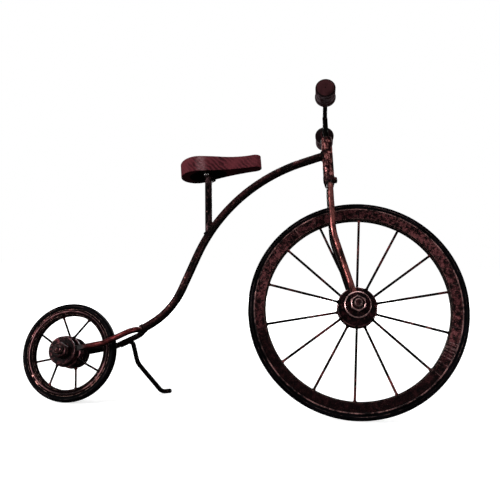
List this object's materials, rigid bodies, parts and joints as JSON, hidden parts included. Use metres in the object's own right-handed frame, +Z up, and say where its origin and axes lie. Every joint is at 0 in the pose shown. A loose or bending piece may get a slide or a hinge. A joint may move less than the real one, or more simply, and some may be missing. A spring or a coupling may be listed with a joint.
{
  "type": "decorative model high-wheel bicycle",
  "caption": "Ornamental model bicycle of bent iron rod with a large front and a small rear wire wheel, wooden saddle and grips, parked leaning on its side stand.",
  "frame": {"origin": "on the floor, under the middle of the parked bicycle's box", "axes": "+X forward, +Y to the bicycle's left, the side it leans to, +Z up"},
  "size_m": [0.4212, 0.1508, 0.3056],
  "materials": {
    "black_iron": "black lacquer over iron with copper showing on raised places",
    "copper_rubbed_iron": "dark lacquer rubbed through to copper",
    "rim_brown": "speckled dark brown with bright edges",
    "hub_iron": "satin near-black",
    "spoke_wire": "black wire with copper glints",
    "tyre_black": "satin black",
    "saddle_wood": "red-brown stained, satin",
    "grip_wood": "dark red-brown stained, satin",
    "screw_steel": "bright screw heads"
  },
  "bodies": {
    "frame": {"rear_axle": "black_iron", "rear_axle_nut": "black_iron", "rear_washer_right": "black_iron", "rear_washer_left": "black_iron", "head_tube": "copper_rubbed_iron", "rear_fork": "black_iron", "backbone": "black_iron", "seat_post": "black_iron", "saddle_plate": "black_iron", "saddle_screws": "screw_steel", "saddle": "saddle_wood", "side_stand": "black_iron"},
    "fork": {"front_axle": "black_iron", "front_axle_nut": "black_iron", "front_washer_right": "black_iron", "front_washer_left": "black_iron", "front_fork": "copper_rubbed_iron", "handlebar": "black_iron", "steering_stem": "black_iron", "fork_collar": "black_iron", "collar_screw": "black_iron", "grip_left": "grip_wood", "grip_right": "grip_wood"},
    "front_wheel": {"front_tyre": "tyre_black", "front_rim": "rim_brown", "front_hub": "hub_iron", "front_spokes": "spoke_wire"},
    "rear_wheel": {"rear_tyre": "tyre_black", "rear_rim": "rim_brown", "rear_hub": "hub_iron", "rear_spokes": "spoke_wire"}
  },
  "joints": [
    {"name": "steering", "type": "hinge", "parent": "frame", "child": "fork", "pos_m": [0.08118, -0.00081, 0.22038], "axis": [-0.095, 0.2577, 0.9616], "range_deg": [-64.5, 55.5]},
    {"name": "front_wheel_spin", "type": "hinge", "parent": "fork", "child": "front_wheel", "pos_m": [0.11084, -0.03251, 0.0968], "axis": [-0.0779, 0.961, -0.2652], "continuous": true},
    {"name": "rear_wheel_spin", "type": "hinge", "parent": "frame", "child": "rear_wheel", "pos_m": [-0.16306, -0.04742, 0.0462], "axis": [0.0002, 0.9659, -0.2588], "continuous": true}
  ]
}
